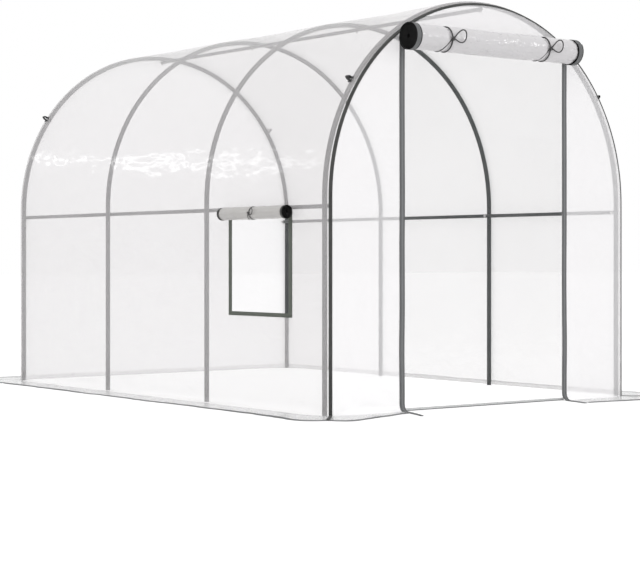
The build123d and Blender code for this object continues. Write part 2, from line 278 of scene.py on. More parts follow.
class Finish:
    """A material in the making, with its nodes at hand."""

    def __init__(self, name, **uniform):
        self.material = bpy.data.materials.new(name)
        self.material.use_nodes = True
        self.tree = self.material.node_tree
        self.shader = self.tree.nodes["Principled BSDF"]
        for socket, value in uniform.items():
            self.shader.inputs[socket.replace("_", " ")].default_value = value
        self.place = self.tree.nodes.new("ShaderNodeTexCoord").outputs["Object"]

    def flat(self):
        """The piece's own UV map, in flat metres."""
        node = self.tree.nodes.new("ShaderNodeUVMap")
        node.uv_map = "flat"
        return node.outputs["UV"]

    def stretched(self, scale):
        """Object coordinates stretched by a Mapping node."""
        node = self.tree.nodes.new("ShaderNodeMapping")
        node.inputs["Scale"].default_value = scale
        self.tree.links.new(self.place, node.inputs["Vector"])
        return node.outputs["Vector"]

    def group(self, name, **values):
        """Places a node group, with its values or the sockets that feed it."""
        node = self.tree.nodes.new("ShaderNodeGroup")
        node.node_tree = bpy.data.node_groups.get(name) or GROUPS[name]()
        for socket, value in values.items():
            plug(self.tree, node.inputs[socket.replace("_", " ")], value)
        return node.outputs

    def feed(self, socket, output):
        self.tree.links.new(output, self.shader.inputs[socket])

    def wear(self, tint, vector=None, **values):
        """Gives the surface its colour and roughness, with some dust and handling."""
        worn = self.group("wear", Vector=vector or self.place, Colour=tint, **values)
        self.feed("Base Color", worn["Colour"])
        self.feed("Roughness", worn["Roughness"])

    def bump(self, height, distance, strength=1.0):
        node = self.tree.nodes.new("ShaderNodeBump")
        node.inputs["Distance"].default_value = distance
        node.inputs["Strength"].default_value = strength
        self.tree.links.new(height, node.inputs["Height"])
        self.feed("Normal", node.outputs["Normal"])


def shared(name, make):
    """The material of that name, which is made when it is first asked for."""
    return bpy.data.materials.get(name) or make(name)


def film_finish(name, tint, haze, patches, fold, crease, depth, sharp=0.35):
    """Clear film with a milky haze. Creases run along the tunnel and fade on the taut roof."""
    film = Finish(name, Base_Color=tint, Roughness=0.14, Specular_IOR_Level=1.0)
    tree = film.tree
    drawn_out = film.stretched((0.6, 0.6, 1))
    creases = film.group("crinkle", Vector=drawn_out, Fold_Scale=fold, Crease_Scale=crease, Crease=sharp)
    split = tree.nodes.new("ShaderNodeSeparateXYZ")
    tree.links.new(film.place, split.inputs[0])
    taut = tree.nodes.new("ShaderNodeMapRange")
    left_on_the_roof = 0.06
    heights = {"From Min": creased_below, "From Max": taut_above, "To Min": 1.0, "To Max": left_on_the_roof}
    for socket, value in {"Value": split.outputs["Z"], **heights}.items():
        plug(tree, taut.inputs[socket], value)
    film.bump(maths(tree, "MULTIPLY", creases["Height"], taut.outputs["Result"]), depth)
    hiding = film.group("haze", Vector=film.place, Haze=haze, Patches=patches)["Alpha"]
    # A glancing view sees a little less through the film
    glancing = tree.nodes.new("ShaderNodeLayerWeight").outputs["Facing"]
    sheen = maths(tree, "MULTIPLY", maths(tree, "POWER", glancing, 3.0), 0.15)
    # Shadow and diffuse rays pass nearly unhindered, so that the inside stays as bright as it is
    path = tree.nodes.new("ShaderNodeLightPath").outputs
    scattered = maths(tree, "MAXIMUM", path["Is Shadow Ray"], path["Is Diffuse Ray"])
    kept = maths(tree, "SUBTRACT", 1.0, maths(tree, "MULTIPLY", scattered, 0.9))
    film.feed("Alpha", maths(tree, "MULTIPLY", maths(tree, "ADD", hiding, sheen), kept))
    return film.material


def woven_finish(name, tint, thread, roughness=0.8, dust=0.12):
    """Woven tape with a little dust in it."""
    tape = Finish(name)
    tape.wear(tint, Scale=14.0, Amount=dust, Roughness=roughness)
    tape.bump(tape.group("weave", Vector=tape.flat(), Thread=thread)["Height"], thread / 4)
    return tape.material


def steel_finish(name):
    """Grey powder coat with a fine orange peel and a little dust."""
    steel = Finish(name, Metallic=0.1, Specular_IOR_Level=0.3)
    steel.wear(own("steel").tint, Scale=9.0, Amount=0.1, Roughness=0.36)
    steel.bump(noise_value(steel.tree, steel.place, 900.0), 0.0001, 0.5)
    return steel.material


def plated_finish(name):
    """Zinc-plated steel with dull patches."""
    plated = Finish(name, Metallic=0.9)
    plated.wear(own("steel").bolt_colour, Scale=60.0, Amount=0.3, Roughness=0.3)
    return plated.material


def coil_finish(name):
    """Ridged nylon of a zip's coil."""
    coil = Finish(name, Base_Color=own("tape").coil_colour, Roughness=0.35)
    coil.bump(coil.group("weave", Vector=coil.flat(), Thread=0.0021)["Height"], 0.0005)
    return coil.material


def roll_finish(name, tint, depth):
    """Many layers of film: milky, with sharp crinkles that catch the light."""
    film = Finish(name, Specular_IOR_Level=0.8)
    film.wear(tint, film.stretched((4, 6, 6)), Scale=2.6, Amount=0.35, Roughness=0.06)
    drawn_out = film.stretched((0.7, 1, 1))
    creases = film.group("crinkle", Vector=drawn_out, Fold_Scale=22.0, Crease_Scale=52.0, Crease=0.8)
    film.bump(creases["Height"], depth)
    return film.material


def core_shade_finish(name):
    """Painted shade: the inner turns of rolled tape get a near-black colour for the dark between them."""
    core = Finish(name, Base_Color=own("roll").core_shade_colour, Roughness=0.85, Specular_IOR_Level=0.15)
    core.bump(noise_value(core.tree, core.place, 300.0), 0.0008)
    return core.material


def cord_finish(name):
    """Braided black cord."""
    cord = Finish(name)
    cord.wear(own("tape").cord_colour, Scale=50.0, Amount=0.12, Roughness=0.65)
    cord.bump(cord.group("weave", Vector=cord.place, Thread=0.0016)["Height"], 0.0004)
    return cord.material


# Mesh helpers


def point_faces_out(bm):
    """Recalculates the normals, so that every face looks outwards."""
    bmesh.ops.recalc_face_normals(bm, faces=bm.faces[:])


def piece_from(name, bm, finishes, nodes, thickness=0.0):
    """A finished piece from its bmesh, which rides on the tunnel and stands for its CAD nodes."""
    mesh = bpy.data.meshes.new(name)
    bm.to_mesh(mesh)
    bm.free()
    mesh.shade_smooth()
    mesh.set_sharp_from_angle(angle=radians(50))
    for finish in finishes:
        mesh.materials.append(finish)
    piece = bpy.data.objects.new(name, mesh)
    bpy.context.scene.collection.objects.link(piece)
    if nodes:
        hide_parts(*nodes)
    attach(piece, "root")
    if thickness:
        shell = piece.modifiers.new("Thickness", "SOLIDIFY")
        shell.thickness = thickness
        shell.offset = 0
    return piece


def flat_sheet(low, high, cell):
    """A flat grid of about square cells from corner to corner, in metres."""
    width, height = high[0] - low[0], high[1] - low[1]
    cell_x, cell_y = (cell, cell) if isinstance(cell, float) else cell
    middle = Vector(((low[0] + high[0]) / 2, (low[1] + high[1]) / 2, 0))
    bm = bmesh.new()
    bmesh.ops.create_grid(
        bm,
        x_segments=max(1, round(width / cell_x)),
        y_segments=max(1, round(height / cell_y)),
        size=0.5,
        matrix=Matrix.Translation(middle) @ Matrix.Diagonal((width, height, 1, 1)),
    )
    return bm


def second_finish(bm, chosen):
    """Gives the second finish to the faces whose flat middle is chosen."""
    for face in bm.faces:
        face.material_index = 1 if chosen(face.calc_center_median()) else 0


def cut(bm, place, normal, clear=False):
    """Cuts a flat sheet along a line, and clears what is beyond it if asked."""
    bmesh.ops.bisect_plane(
        bm,
        geom=bm.verts[:] + bm.edges[:] + bm.faces[:],
        dist=1e-6,
        plane_co=(*place, 0),
        plane_no=(*normal, 0),
        clear_outer=clear,
    )


def cut_hole(bm, low, high):
    """Cuts a rectangular opening in a flat sheet."""
    for normal in ((1, 0), (0, 1)):
        for corner in (low, high):
            cut(bm, corner, normal)
    inside = []
    for face in bm.faces:
        middle = face.calc_center_median()
        if low[0] < middle.x < high[0] and low[1] < middle.y < high[1]:
            inside.append(face)
    bmesh.ops.delete(bm, geom=inside, context="FACES")


def cut_to_arch(bm, outline_radius, steps=72):
    """Cuts a flat sheet to the arch's outline, by its tangents."""
    for step in range(1, steps):
        angle = pi * step / steps
        normal = (cos(angle), sin(angle))
        cut(bm, (outline_radius * normal[0], spring + outline_radius * normal[1]), normal, clear=True)


def bend(bm, place):
    """Keeps each corner's flat place as its UV, and then moves it to where place puts it."""
    layer = bm.loops.layers.uv.new("flat")
    for face in bm.faces:
        for loop in face.loops:
            loop[layer].uv = loop.vert.co.xy
    for vert in bm.verts:
        vert.co = place(vert.co.x, vert.co.y)


def joined(parts):
    """One bmesh of several, with their materials and UV maps."""
    whole = bmesh.new()
    for part in parts:
        mesh = bpy.data.meshes.new("part")
        part.to_mesh(mesh)
        part.free()
        whole.from_mesh(mesh)
        bpy.data.meshes.remove(mesh)
    return whole


def smooth_step(value):
    """0 below 0, 1 above 1, and a soft slope between them."""
    value = min(1.0, max(0.0, value))
    return value * value * (3 - 2 * value)


def ripple(x, y, seed):
    """Soft seeded noise from about -1 to 1."""
    return noise.noise(Vector((x, y, seed)))


# Frame of the tunnel


def facing(middle, axis):
    """A matrix that sets a shape at middle, with its Z along that axis."""
    turn = Vector((0, 0, 1)).rotation_difference(Vector(axis))
    return Matrix.Translation(middle) @ turn.to_matrix().to_4x4()


def edges_at(verts):
    """The edges at those corners, each of them once."""
    return list(dict.fromkeys(edge for vert in verts for edge in vert.link_edges))


def tube_ring(bm, middle, normal, size):
    """A ring of a tube's section."""
    sides = own("steel").sides
    ring = bmesh.ops.create_circle(bm, segments=sides, radius=size, matrix=facing(middle, normal))
    return edges_at(ring["verts"])


def push(bm, edges, step, grow=1.0):
    """Extrudes a ring by a step, and widens or narrows it."""
    made = bmesh.ops.extrude_edge_only(bm, edges=edges)["geom"]
    verts = [item for item in made if isinstance(item, bmesh.types.BMVert)]
    bmesh.ops.translate(bm, verts=verts, vec=step)
    middle = sum((vert.co for vert in verts), Vector()) / len(verts)
    bmesh.ops.scale(bm, verts=verts, vec=(grow, grow, grow), space=Matrix.Translation(-middle))
    return [item for item in made if isinstance(item, bmesh.types.BMEdge)]


def straight_tube(bm, start, end, size):
    """A tube from start to end, with softly rolled edges and closed ends."""
    shoulder = own("steel").shoulder
    run = Vector(end) - Vector(start)
    step = run.normalized() * shoulder
    edges = tube_ring(bm, Vector(start), run, size - shoulder)
    bmesh.ops.edgeloop_fill(bm, edges=edges)
    edges = push(bm, edges, step, size / (size - shoulder))
    edges = push(bm, edges, run - 2 * step)
    edges = push(bm, edges, step, (size - shoulder) / size)
    bmesh.ops.edgeloop_fill(bm, edges=edges)


class TUNNEL_OT_hoops(bpy.types.Operator):
    """Makes the steel hoops, each with two straight legs and two half arches on them"""

    bl_idname = "tunnel.hoops"
    bl_label = "Hoops"

    def execute(self, context):
        steel = [shared("coated_steel", steel_finish)]
        for number, y in enumerate(hoop_places, start=1):
            low_part, arch = bmesh.new(), bmesh.new()
            for side in (-1, 1):
                x = side * arch_radius
                straight_tube(low_part, (x, y, 0), (x, y, joint_height), tube_radius)
                straight_tube(arch, (x, y, joint_height), (x, y, spring), tube_radius)
                bmesh.ops.spin(
                    arch, geom=tube_ring(arch, (x, y, spring), (0, 0, 1), tube_radius), cent=(0, y, spring),
                    axis=(0, -side, 0), angle=pi / 2, steps=30, use_merge=False,
                )
            point_faces_out(low_part)
            piece_from(f"hoop_{number}_leg_tubes", low_part, steel, [f"hoop_{number}_legs"])
            bmesh.ops.remove_doubles(arch, verts=arch.verts[:], dist=1e-5)
            point_faces_out(arch)
            piece_from(f"hoop_{number}_arch_tube", arch, steel, [f"hoop_{number}_arch"])
        return {"FINISHED"}


class TUNNEL_OT_rails(bpy.types.Operator):
    """Makes the side rails and the ridge rail, one tube a bay, each narrowed where the next is pushed on"""

    bl_idname = "tunnel.rails"
    bl_label = "Rails"

    def execute(self, context):
        socket = own("steel").socket
        gap, narrower = 0.0004, 0.0014
        for name, (low, high) in rails.items():
            x, z = (low.x + high.x) / 2, (low.z + high.z) / 2
            joints = [low.y, *hoop_places[1:-1], high.y]
            bm = bmesh.new()
            for start, end in zip(joints, joints[1:]):
                straight_tube(bm, (x, start + gap, z), (x, end - gap, z), rail_radius)
                pushed_in = min(end + socket, high.y)
                straight_tube(bm, (x, end - socket, z), (x, pushed_in, z), rail_radius - narrower)
            point_faces_out(bm)
            piece_from(f"{name}_tube", bm, [shared("coated_steel", steel_finish)], [name])
        return {"FINISHED"}


class TUNNEL_OT_bolts(bpy.types.Operator):
    """Makes the washers and nuts where the rails are bolted to the hoops"""

    bl_idname = "tunnel.bolts"
    bl_label = "Bolts"

    def execute(self, context):
        # Sides, radius, start and thickness of the washer, of the nut and of the bolt's end
        stack = ((24, 0.0085, 0.0, 0.0018), (6, 0.0068, 0.0018, 0.0052), (16, 0.003, 0.0066, 0.0042))
        sunk, chamfer = 0.0006, 0.0004
        bm = bmesh.new()
        for low, high in rails.values():
            middle = (low + high) / 2
            inwards = Vector((-middle.x, 0, 0)) if abs(middle.x) > rail_radius else Vector((0, 0, -1))
            inwards.normalize()
            for y in hoop_places:
                seat = Vector((middle.x, y, middle.z)) + inwards * (rail_radius - sunk)
                for sides, size, start, thickness in stack:
                    made = bmesh.ops.create_cone(
                        bm, cap_ends=True, segments=sides, radius1=size, radius2=size, depth=thickness,
                        matrix=facing(seat + inwards * (start + thickness / 2), inwards),
                    )
                    bmesh.ops.bevel(
                        bm, geom=edges_at(made["verts"]), offset=chamfer, offset_type="OFFSET",
                        affect="EDGES", segments=1, profile=0.5, material=-1,
                    )
        piece_from("rail_bolts", bm, [plated_finish("plated_steel")], [])
        return {"FINISHED"}


# Film cover


def slack_at(y):
    """0 at a hoop and past the end ones, and 1 midway between two."""
    for start, end in zip(hoop_places, hoop_places[1:]):
        if start < y < end:
            return sin(pi * (y - start) / (end - start))
    return 0.0


def wall_radius(y):
    """The cover's outer radius at y, which draws in from the first hoop to the front edge."""
    return radius - gather_slope * max(0.0, gather_start - y)


def flare_at(inside):
    """Radius in which the film turns into its flap, by the distance from the nearest end or corner."""
    return own("film").flare * smooth_step(inside / 0.14)


def foot_flare(height, inside):
    """How far the film leans out at its foot, where it turns into the flap."""
    size = flare_at(inside)
    drop = size - max(0.0, height)
    return size - sqrt(size**2 - drop**2) if drop > 0 else 0.0


def on_the_cover(girth, y, lift=0.0):
    """A point of the cover's middle surface, by its girth from the crown, and how far it stands proud."""
    size = wall_radius(y) - film_solid / 2 + lift
    size += foot_flare(half_girth - abs(girth), min(y - front, rear - y))
    side = 1 if girth > 0 else -1
    if abs(girth) > quarter:
        return Vector((side * size, y, spring - (abs(girth) - quarter)))
    angle = girth / radius
    return Vector((size * sin(angle), y, spring + size * cos(angle)))


def cover_lift(girth, y):
    """How far the stretched film stands proud: it sinks between the hoops, with folds from hoop to hoop."""
    film = own("film")
    slack = slack_at(y)
    on_arch = smooth_step((quarter + 0.15 - abs(girth)) / 0.4)
    folds = ripple(girth * 5.0, y * 2.2, 1.3) + 0.6 * ripple(girth * 13.0, y * 5.0, 7.1)
    folds += ripple(girth * 1.2, y * 10.0, 4.2) * (1 - on_arch)
    off_window = 1.0
    if girth < -quarter:
        off_window = smooth_step((abs(y - (window_low.x + window_high.x) / 2) - 0.27) / 0.1)
    return slack * (-film.sag * slack * on_arch + film.wrinkle * off_window * folds)


class TUNNEL_OT_cover(bpy.types.Operator):
    """Makes the film over the hoops in one sheet, from the ground on one side to the ground on the other"""

    bl_idname = "tunnel.cover"
    bl_label = "Cover"

    def execute(self, context):
        film = own("film")
        bm = flat_sheet((-half_girth, front + film_solid / 2), (half_girth, rear - film_solid / 2), film.cell)
        cut_hole(bm, (window_low.y - half_girth, window_low.x), (window_high.y - half_girth, window_high.x))
        for step in (0, 0.01, 0.02):
            cut(bm, (0, gather_start - step), (0, 1))
        for foot in foot_rows:
            cut(bm, (foot - half_girth, 0), (1, 0))
            cut(bm, (half_girth - foot, 0), (1, 0))
        bend(bm, lambda girth, y: on_the_cover(girth, y, cover_lift(girth, y)))
        finish = film_finish(
            "wall_film", film.wall_colour, film.wall_haze, patches=0.05, fold=9.0, crease=20.0, depth=0.011,
            sharp=0.18,
        )
        nodes = [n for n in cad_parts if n.startswith(("roof_film_", "left_film_"))]
        cover = piece_from("cover", bm, [finish], [*nodes, "right_film"], film.thickness)
        return {"FINISHED"}


def inside_arch(size, x, z):
    """How far a point of an end lies inside an arch of that radius on straight sides."""
    return size - hypot(x, max(0.0, z - spring))


def front_lift(x, z):
    """How far the front film stands off its plane: most in folds low down, and not at its edges."""
    film = own("film")
    edge = inside_arch(edge_radius, x, z)
    beside_door = smooth_step((abs(x) - door_half - 0.03) / 0.05) if z < door_head else 1
    free = smooth_step((edge - 0.01) / 0.06) * beside_door
    low = smooth_step((0.75 - z) / 0.7)
    folds = ripple(x * 9.0, z * 1.6, 2.5) + 0.7 * ripple(x * 4.0 + z * 5.0, z * 7.0, 8.8)
    creases = ripple(x * 16.0 + z * 9.0, z * 22.0, 5.1)
    stand = film.wrinkle * folds + film.slack * low * (0.6 * folds + 0.5 * creases)
    return foot_flare(z, edge) + free * smooth_step(z / 0.08) * stand


def rear_lift(x, z):
    """How far the rear film stands off its plane."""
    edge = inside_arch(radius, x, z)
    free = smooth_step((edge - 0.01) / 0.1)
    folds = ripple(x * 6.0, z * 1.4, 3.7) + 0.6 * ripple(x * 4.0 - z * 4.0, z * 6.0, 6.6)
    return foot_flare(z, edge) + own("film").wrinkle * free * smooth_step(z / 0.08) * folds


def arch_film(name, y, size, doorway, lift, finish, nodes):
    """A sheet of film in one end of the tunnel, as an arch of that radius on straight sides."""
    film = own("film")
    trim = 0.0004
    bm = flat_sheet((-size, 0), (size, spring + size), film.cell)
    cut_to_arch(bm, size - trim)
    if doorway:
        cut_hole(bm, (-door_half, -1), (door_half, door_head))
    for foot in foot_rows:
        cut(bm, (0, foot), (0, 1))
    bend(bm, lambda x, z: Vector((x, y + lift(x, z), z)))
    sheet = piece_from(name, bm, [finish], nodes, film.thickness)


class TUNNEL_OT_ends(bpy.types.Operator):
    """Makes the film of the front, round its doorway, and of the rear"""

    bl_idname = "tunnel.ends"
    bl_label = "Front and rear film"

    def execute(self, context):
        film = own("film")
        # Painted light: the ends' near-white haze colour stands for light shining through the film from
        # outside
        finish = film_finish(
            "end_lit_film", film.end_lit_colour, film.end_haze, patches=0.08, fold=9.0, crease=30.0, depth=0.006
        )
        arch_film("front_film", front + film_solid / 2, edge_radius, True, lambda x, z: -front_lift(x, z),
                  finish, ["front_film_left", "front_film_right", "front_film_over_door"])
        arch_film("rear_sheet", rear - film_solid / 2, radius, False, rear_lift, finish, ["rear_film"])
        return {"FINISHED"}


def flap_corner(side, end):
    """The outer corner of the ground flaps on that side, and at that end of the tunnel, drawn in a little."""
    pull = own("flap").pull if end < 0 else own("flap").rear_pull
    return Vector((side * (reach.x - pull), end * (reach.y - pull)))


def door_corner(side):
    """The corner of a front flap beside the doorway. The flaps don't lie alike: the left one narrows more."""
    outwards, narrower = (0.07, 0.135) if side < 0 else (-0.01, 0.05)
    return Vector((side * (door_half + outwards), narrower - reach.y))


def flap_edge(start, end, out, pulled, place):
    """A point of a flap's outer edge, at a share of the way between its corners. It bulges beside them."""
    flap = own("flap")
    calm, turn, crest = 0.1, 0.05, 0.09
    run = (end - start).length
    seed = 3.1 * out.x + 7.3 * out.y + start.y
    wander = 0.0
    for pace, height, layer in ((2.4, 1.0, 1.0), (9.0, 0.8, 2.0), (26.0, 0.4, 6.0)):
        wander += flap.wave * height * ripple(place * run * pace, seed, layer)
    for share_off, pull in ((place, pulled[0]), (1 - place, pulled[1])):
        distance = share_off * run
        wander = wander * min(1.0, distance / calm) + pull * (1 - share_off - exp(-distance / turn))
        wander += flap.bulge * pull / flap.pull * distance / crest * exp(1 - distance / crest)
    return start.lerp(end, place) + out * wander


class TUNNEL_OT_flaps(bpy.types.Operator):
    """Makes the ground flaps, which lie in loose folds with a hem along their outer edge"""

    bl_idname = "tunnel.flaps"
    bl_label = "Ground flaps"

    def execute(self, context):
        flap = own("flap")
        film = film_finish(
            "flap_film", flap.tint, flap.haze, patches=0.1, fold=14.0, crease=40.0, depth=0.004
        )
        finishes = [film, woven_finish("flap_hem", flap.hem_colour, own("tape").thread)]
        for side, name in ((-1, "left"), (1, "right")):
            corner, rear_corner = flap_corner(side, -1), flap_corner(side, 1)
            self.make(
                f"{name}_ground_flap", "side_flaps", finishes, rear - front, partial(self.side_foot, side),
                partial(flap_edge, corner, rear_corner, Vector((side, 0)), (flap.pull, flap.rear_pull)),
            )
            foot = (Vector((side * edge_radius, front)), Vector((side * door_half, front)))
            self.make(
                f"front_{name}_ground_flap", "front_flaps", finishes, edge_radius - door_half,
                partial(self.end_foot, *foot, True),
                partial(flap_edge, corner, door_corner(side), Vector((0, -1)), (flap.pull, 0)),
            )
        corners, pulled = (flap_corner(-1, 1), flap_corner(1, 1)), (flap.rear_pull, flap.rear_pull)
        self.make(
            "rear_ground_flap", "rear_flap", finishes, 2 * radius,
            partial(self.end_foot, Vector((-radius, rear)), Vector((radius, rear)), False),
            partial(flap_edge, *corners, Vector((0, 1)), pulled),
        )
        return {"FINISHED"}

    def side_foot(self, side, place):
        """A point of the wall's foot, at a share of the way from the front to the rear."""
        y = front + (rear - front) * place
        return Vector((side * (wall_radius(y) + flare_at(min(y - front, rear - y))), y))

    def end_foot(self, start, end, to_doorway, place):
        """A point of the foot of the front or the rear film, which has no second corner at the doorway."""
        point = start.lerp(end, place)
        inside = (end - start).length * (place if to_doorway else min(place, 1 - place))
        return point + Vector((0, flare_at(inside) * (1 if point.y > 0 else -1)))

    def make(self, name, node, finishes, run, foot, edge):
        """One flap, between the foot of the cover and its own outer edge."""
        flap = own("flap")
        hem = flap.hem
        width = (edge(0.5) - foot(0.5)).length
        bm = flat_sheet((0, 0), (width, run), 0.014)
        for rows in (0.5, 1, 2, 3):
            cut(bm, (width - rows * hem, 0), (1, 0))
        second_finish(bm, lambda middle: middle.x > width - hem)
        seed = ripple(foot(0).x * 3.3, foot(0.3).y * 5.1, 0.4) * 20
        ground_gap = 0.0008

        def place(out, along):
            share_out, share_along = out / width, along / run
            point = foot(share_along).lerp(edge(share_along), share_out)
            inside = smooth_step(share_out / 0.12) * smooth_step(min(along, run - along) / 0.05)
            inside *= min(1.0, (width - out) / (2 * hem))
            folds = 0.5 + 0.9 * ripple(out * 14.0, along * 3.2, seed)
            folds += 0.5 * ripple(out * 11.0, along * 12.0, seed + 5)
            past_width = out - width
            rolled_hem = smooth_step((past_width + 3 * hem) / (2 * hem))
            rolled_hem -= smooth_step((past_width + hem) / hem)
            up = ground_gap + 0.55 * hem * rolled_hem + flap.fold * inside * max(0.0, folds)
            return Vector((point.x, point.y, up))

        bend(bm, place)
        point_faces_out(bm)
        if sum(face.normal.z for face in bm.faces) < 0:
            bmesh.ops.reverse_faces(bm, faces=bm.faces[:])
        piece = piece_from(name, bm, finishes, [node], flap.thickness)


# Tapes on the cover


class TUNNEL_OT_binding(bpy.types.Operator):
    """Makes the binding folded over the front edge of the cover, with its tails on the flaps"""

    bl_idname = "tunnel.binding"
    bl_label = "Front binding"

    def execute(self, context):
        tape = own("tape")
        whole, end = tape.binding_width + tape.binding_return, half_girth - 0.002
        proud_at_edge, proud_on_cover, proud_on_flap, before_film = 0.0015, 0.0024, 0.0055, 0.0009
        back = Vector((gather_slope, 1)).normalized()

        def fold(across, girth):
            rise = across - tape.binding_width
            wander = 0.0007 * ripple(girth * 9.0, 0, 1.5)
            if rise > 0:
                return on_the_cover(girth, front + rise * back.y, proud_on_cover + wander)
            point = on_the_cover(girth, front, proud_at_edge + rise)
            point.y = front - before_film - wander
            return point

        strips = [flat_sheet((0, -end), (whole, end), (0.0028, 0.028))]
        bend(strips[0], fold)
        for side in (-1, 1):
            start = Vector((side * (edge_radius + 0.002), front - 0.002))
            run = flap_corner(side, -1) - start
            aside = Vector((-run.y, run.x)).normalized()
            half = tape.binding_tail / 2

            def lay(across, along):
                sway = 0.002 * ripple(along * 14.0, start.x, 3.0)
                point = start + run.normalized() * along + aside * (across + sway)
                return Vector((point.x, point.y, proud_on_flap))

            tail = flat_sheet((-half, 0), (half, run.length), (0.005, 0.012))
            bend(tail, lay)
            strips.append(tail)
        bm = joined(strips)
        point_faces_out(bm)
        finish = woven_finish("binding_tape", tape.binding_colour, tape.thread)
        piece_from("front_edge_binding", bm, [finish], ["front_binding"], 0.0012)
        return {"FINISHED"}


def along_the_zip(distance, off):
    """A point of the zip as (y, z), by its distance up from the bend at its foot, off the film."""
    bend_radius = own("film").flare
    if distance > 0:
        return front - off, bend_radius + distance
    arc = bend_radius * pi / 2
    if distance > -arc:
        angle = -distance / bend_radius
        size = bend_radius - off
        return front - bend_radius + size * cos(angle), bend_radius - size * sin(angle)
    return front - bend_radius + (distance + arc), off


class TUNNEL_OT_zips(bpy.types.Operator):
    """Makes the zips beside the doorway: tape, coil, and the tail that lies on the ground flap"""

    bl_idname = "tunnel.zips"
    bl_label = "Door zips"

    def execute(self, context):
        tape = own("tape")
        low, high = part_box("door_zips")
        width = high.x - door_half
        finishes = [
            woven_finish("zip_tape", tape.zip_colour, tape.thread, 0.7),
            woven_finish("zip_edging", tape.zip_edge_colour, tape.thread, 0.7),
        ]
        coil = coil_finish("zip_coil")
        edging, proud, coil_half = 0.005, 0.0014, 0.0036
        bend_radius = own("film").flare
        top = spring + sqrt((edge_radius - 0.008) ** 2 - (door_half + width) ** 2) - 0.003 - bend_radius
        # Side, how far the tail leans aside, and how far forward it reaches
        for side, lean, tip in ((-1, -0.085, low.y), (1, -0.05, low.y + 0.045)):
            middle = side * (door_half + width / 2)
            tail = -(front - bend_radius - tip) - bend_radius * pi / 2

            def place(across, distance, above=0.0):
                y, z = along_the_zip(distance, proud + above)
                sway = 0.0035 * ripple(distance * 2.4, side, 4.0) * smooth_step(distance / 0.3)
                laid = min(1.0, max(0.0, distance / tail))
                return Vector((middle + across * (1 - 0.45 * laid**2) + sway + lean * laid**1.5, y, z))

            bm = flat_sheet((-width / 2, tail), (width / 2, top), (0.004, 0.011))
            second_finish(bm, lambda middle_of: abs(middle_of.x) > width / 2 - edging)
            bend(bm, place)
            point_faces_out(bm)
            name = "left" if side < 0 else "right"
            piece_from(f"{name}_zip_tape", bm, finishes, ["door_zips"], tape.thickness)
            bm = flat_sheet((-coil_half, tail + 0.004), (coil_half, top - 0.01), (0.0009, 0.0021))
            bend(bm, lambda across, distance: place(across, distance, self.coil_height(across)))
            piece_from(f"{name}_zip_coil", bm, [coil], [])
        return {"FINISHED"}

    def coil_height(self, across):
        """Height of the coil over its tape."""
        return 0.0008 + 0.0012 * sqrt(max(0.0, 1 - (across / 0.0037) ** 2))


class TUNNEL_OT_threshold(bpy.types.Operator):
    """Makes the strip of film across the foot of the doorway, with its dark welt"""

    bl_idname = "tunnel.threshold"
    bl_label = "Threshold"

    def execute(self, context):
        tape = own("tape")
        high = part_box("door_threshold")[1].z
        half = door_half + 0.012
        strip = film_finish(
            "threshold_film", (0.55, 0.56, 0.56, 1), haze=0.8, patches=0.1, fold=12.0, crease=40.0,
            depth=0.003,
        )
        welt = woven_finish("threshold_welt", tape.zip_colour, tape.thread)

        def place(x, z):
            stand = 0.0012 * ripple(x * 6.0, z * 20.0, 1.0) - 0.002 * smooth_step((high * 0.45 - z) / 0.003)
            return Vector((x, front + film_solid / 2 + stand, z))

        bm = flat_sheet((-half, 0.0006), (half, high), (0.012, 0.002))
        second_finish(bm, lambda middle: middle.y < high * 0.36)
        bend(bm, place)
        piece_from("threshold_strip", bm, [strip, welt], ["door_threshold"], tape.thickness)
        return {"FINISHED"}


class TUNNEL_OT_window_trim(bpy.types.Operator):
    """Makes the woven tape round the window"""

    bl_idname = "tunnel.window_trim"
    bl_label = "Window trim"

    def execute(self, context):
        tape = own("tape")
        low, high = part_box("window_trim")
        bm = flat_sheet((low.y, low.z), (high.y, high.z), 0.012)
        cut_hole(bm, window_low, window_high)
        bend(bm, lambda y, z: Vector((-radius - 0.0012 - 0.0004 * ripple(y * 12.0, z * 12.0, 2.0), y, z)))
        finish = woven_finish("window_tape", tape.trim_colour, tape.thread)
        piece_from("window_tape_trim", bm, [finish], ["window_trim"], 0.0018)
        return {"FINISHED"}


# Rolls, their rolled tape and their ties


def roll_measures(node, along_x):
    """Middle, radius and half the length of a roll. The rolled door lies a little to the left."""
    low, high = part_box(node)
    slip = own("roll").slip if along_x else 0
    size = high - low
    return (low + high) / 2 - Vector((slip, 0, 0)), size.z / 2, (size.x if along_x else size.y) / 2


def beside_roll(middle, along_x, run, out, up):
    """A point by its place along the roll, and how far it lies outside and above the roll's middle."""
    return middle + Vector((run, -out, up) if along_x else (-out, run, up))


def rolled(radius_at, middle, along_x):
    """A function that bends a flat sheet round a roll, with flat x along it and flat y round it."""

    def place(run, around):
        size, angle = radius_at(run, around)
        return beside_roll(middle, along_x, run, size * sin(angle), size * cos(angle))

    return place


def film_roll(name, node, tie_places, cord, along_x, finish):
    """Rolled-up film, crinkled, with a groove at each tie and the edge of its last turn showing."""
    middle, size, half = roll_measures(node, along_x)
    crinkle = own("roll").crinkle * size / 0.065
    overlap, turn_step, edge_angle = 1.12, 0.0016, 0.9

    def radius_at(run, around):
        angle = around / size
        groove = max(smooth_step(1 - abs(run - tie) / (4 * cord)) for tie in tie_places)
        folds = ripple(run * 6.0, angle * 1.6, 1.0) + 0.7 * ripple(run * 22.0, angle * 3.4, 9.0)
        depth = (cord + 0.0006) * groove + turn_step * angle / (2 * pi)
        return size + min(0.0, crinkle * (folds - 1.0)) - depth, angle - edge_angle

    bm = flat_sheet((-half, 0), (half, 2 * pi * size * overlap), (0.01, size * 0.1))
    bend(bm, rolled(radius_at, middle, along_x))
    point_faces_out(bm)
    piece_from(name, bm, [finish], [node], 0.0009)


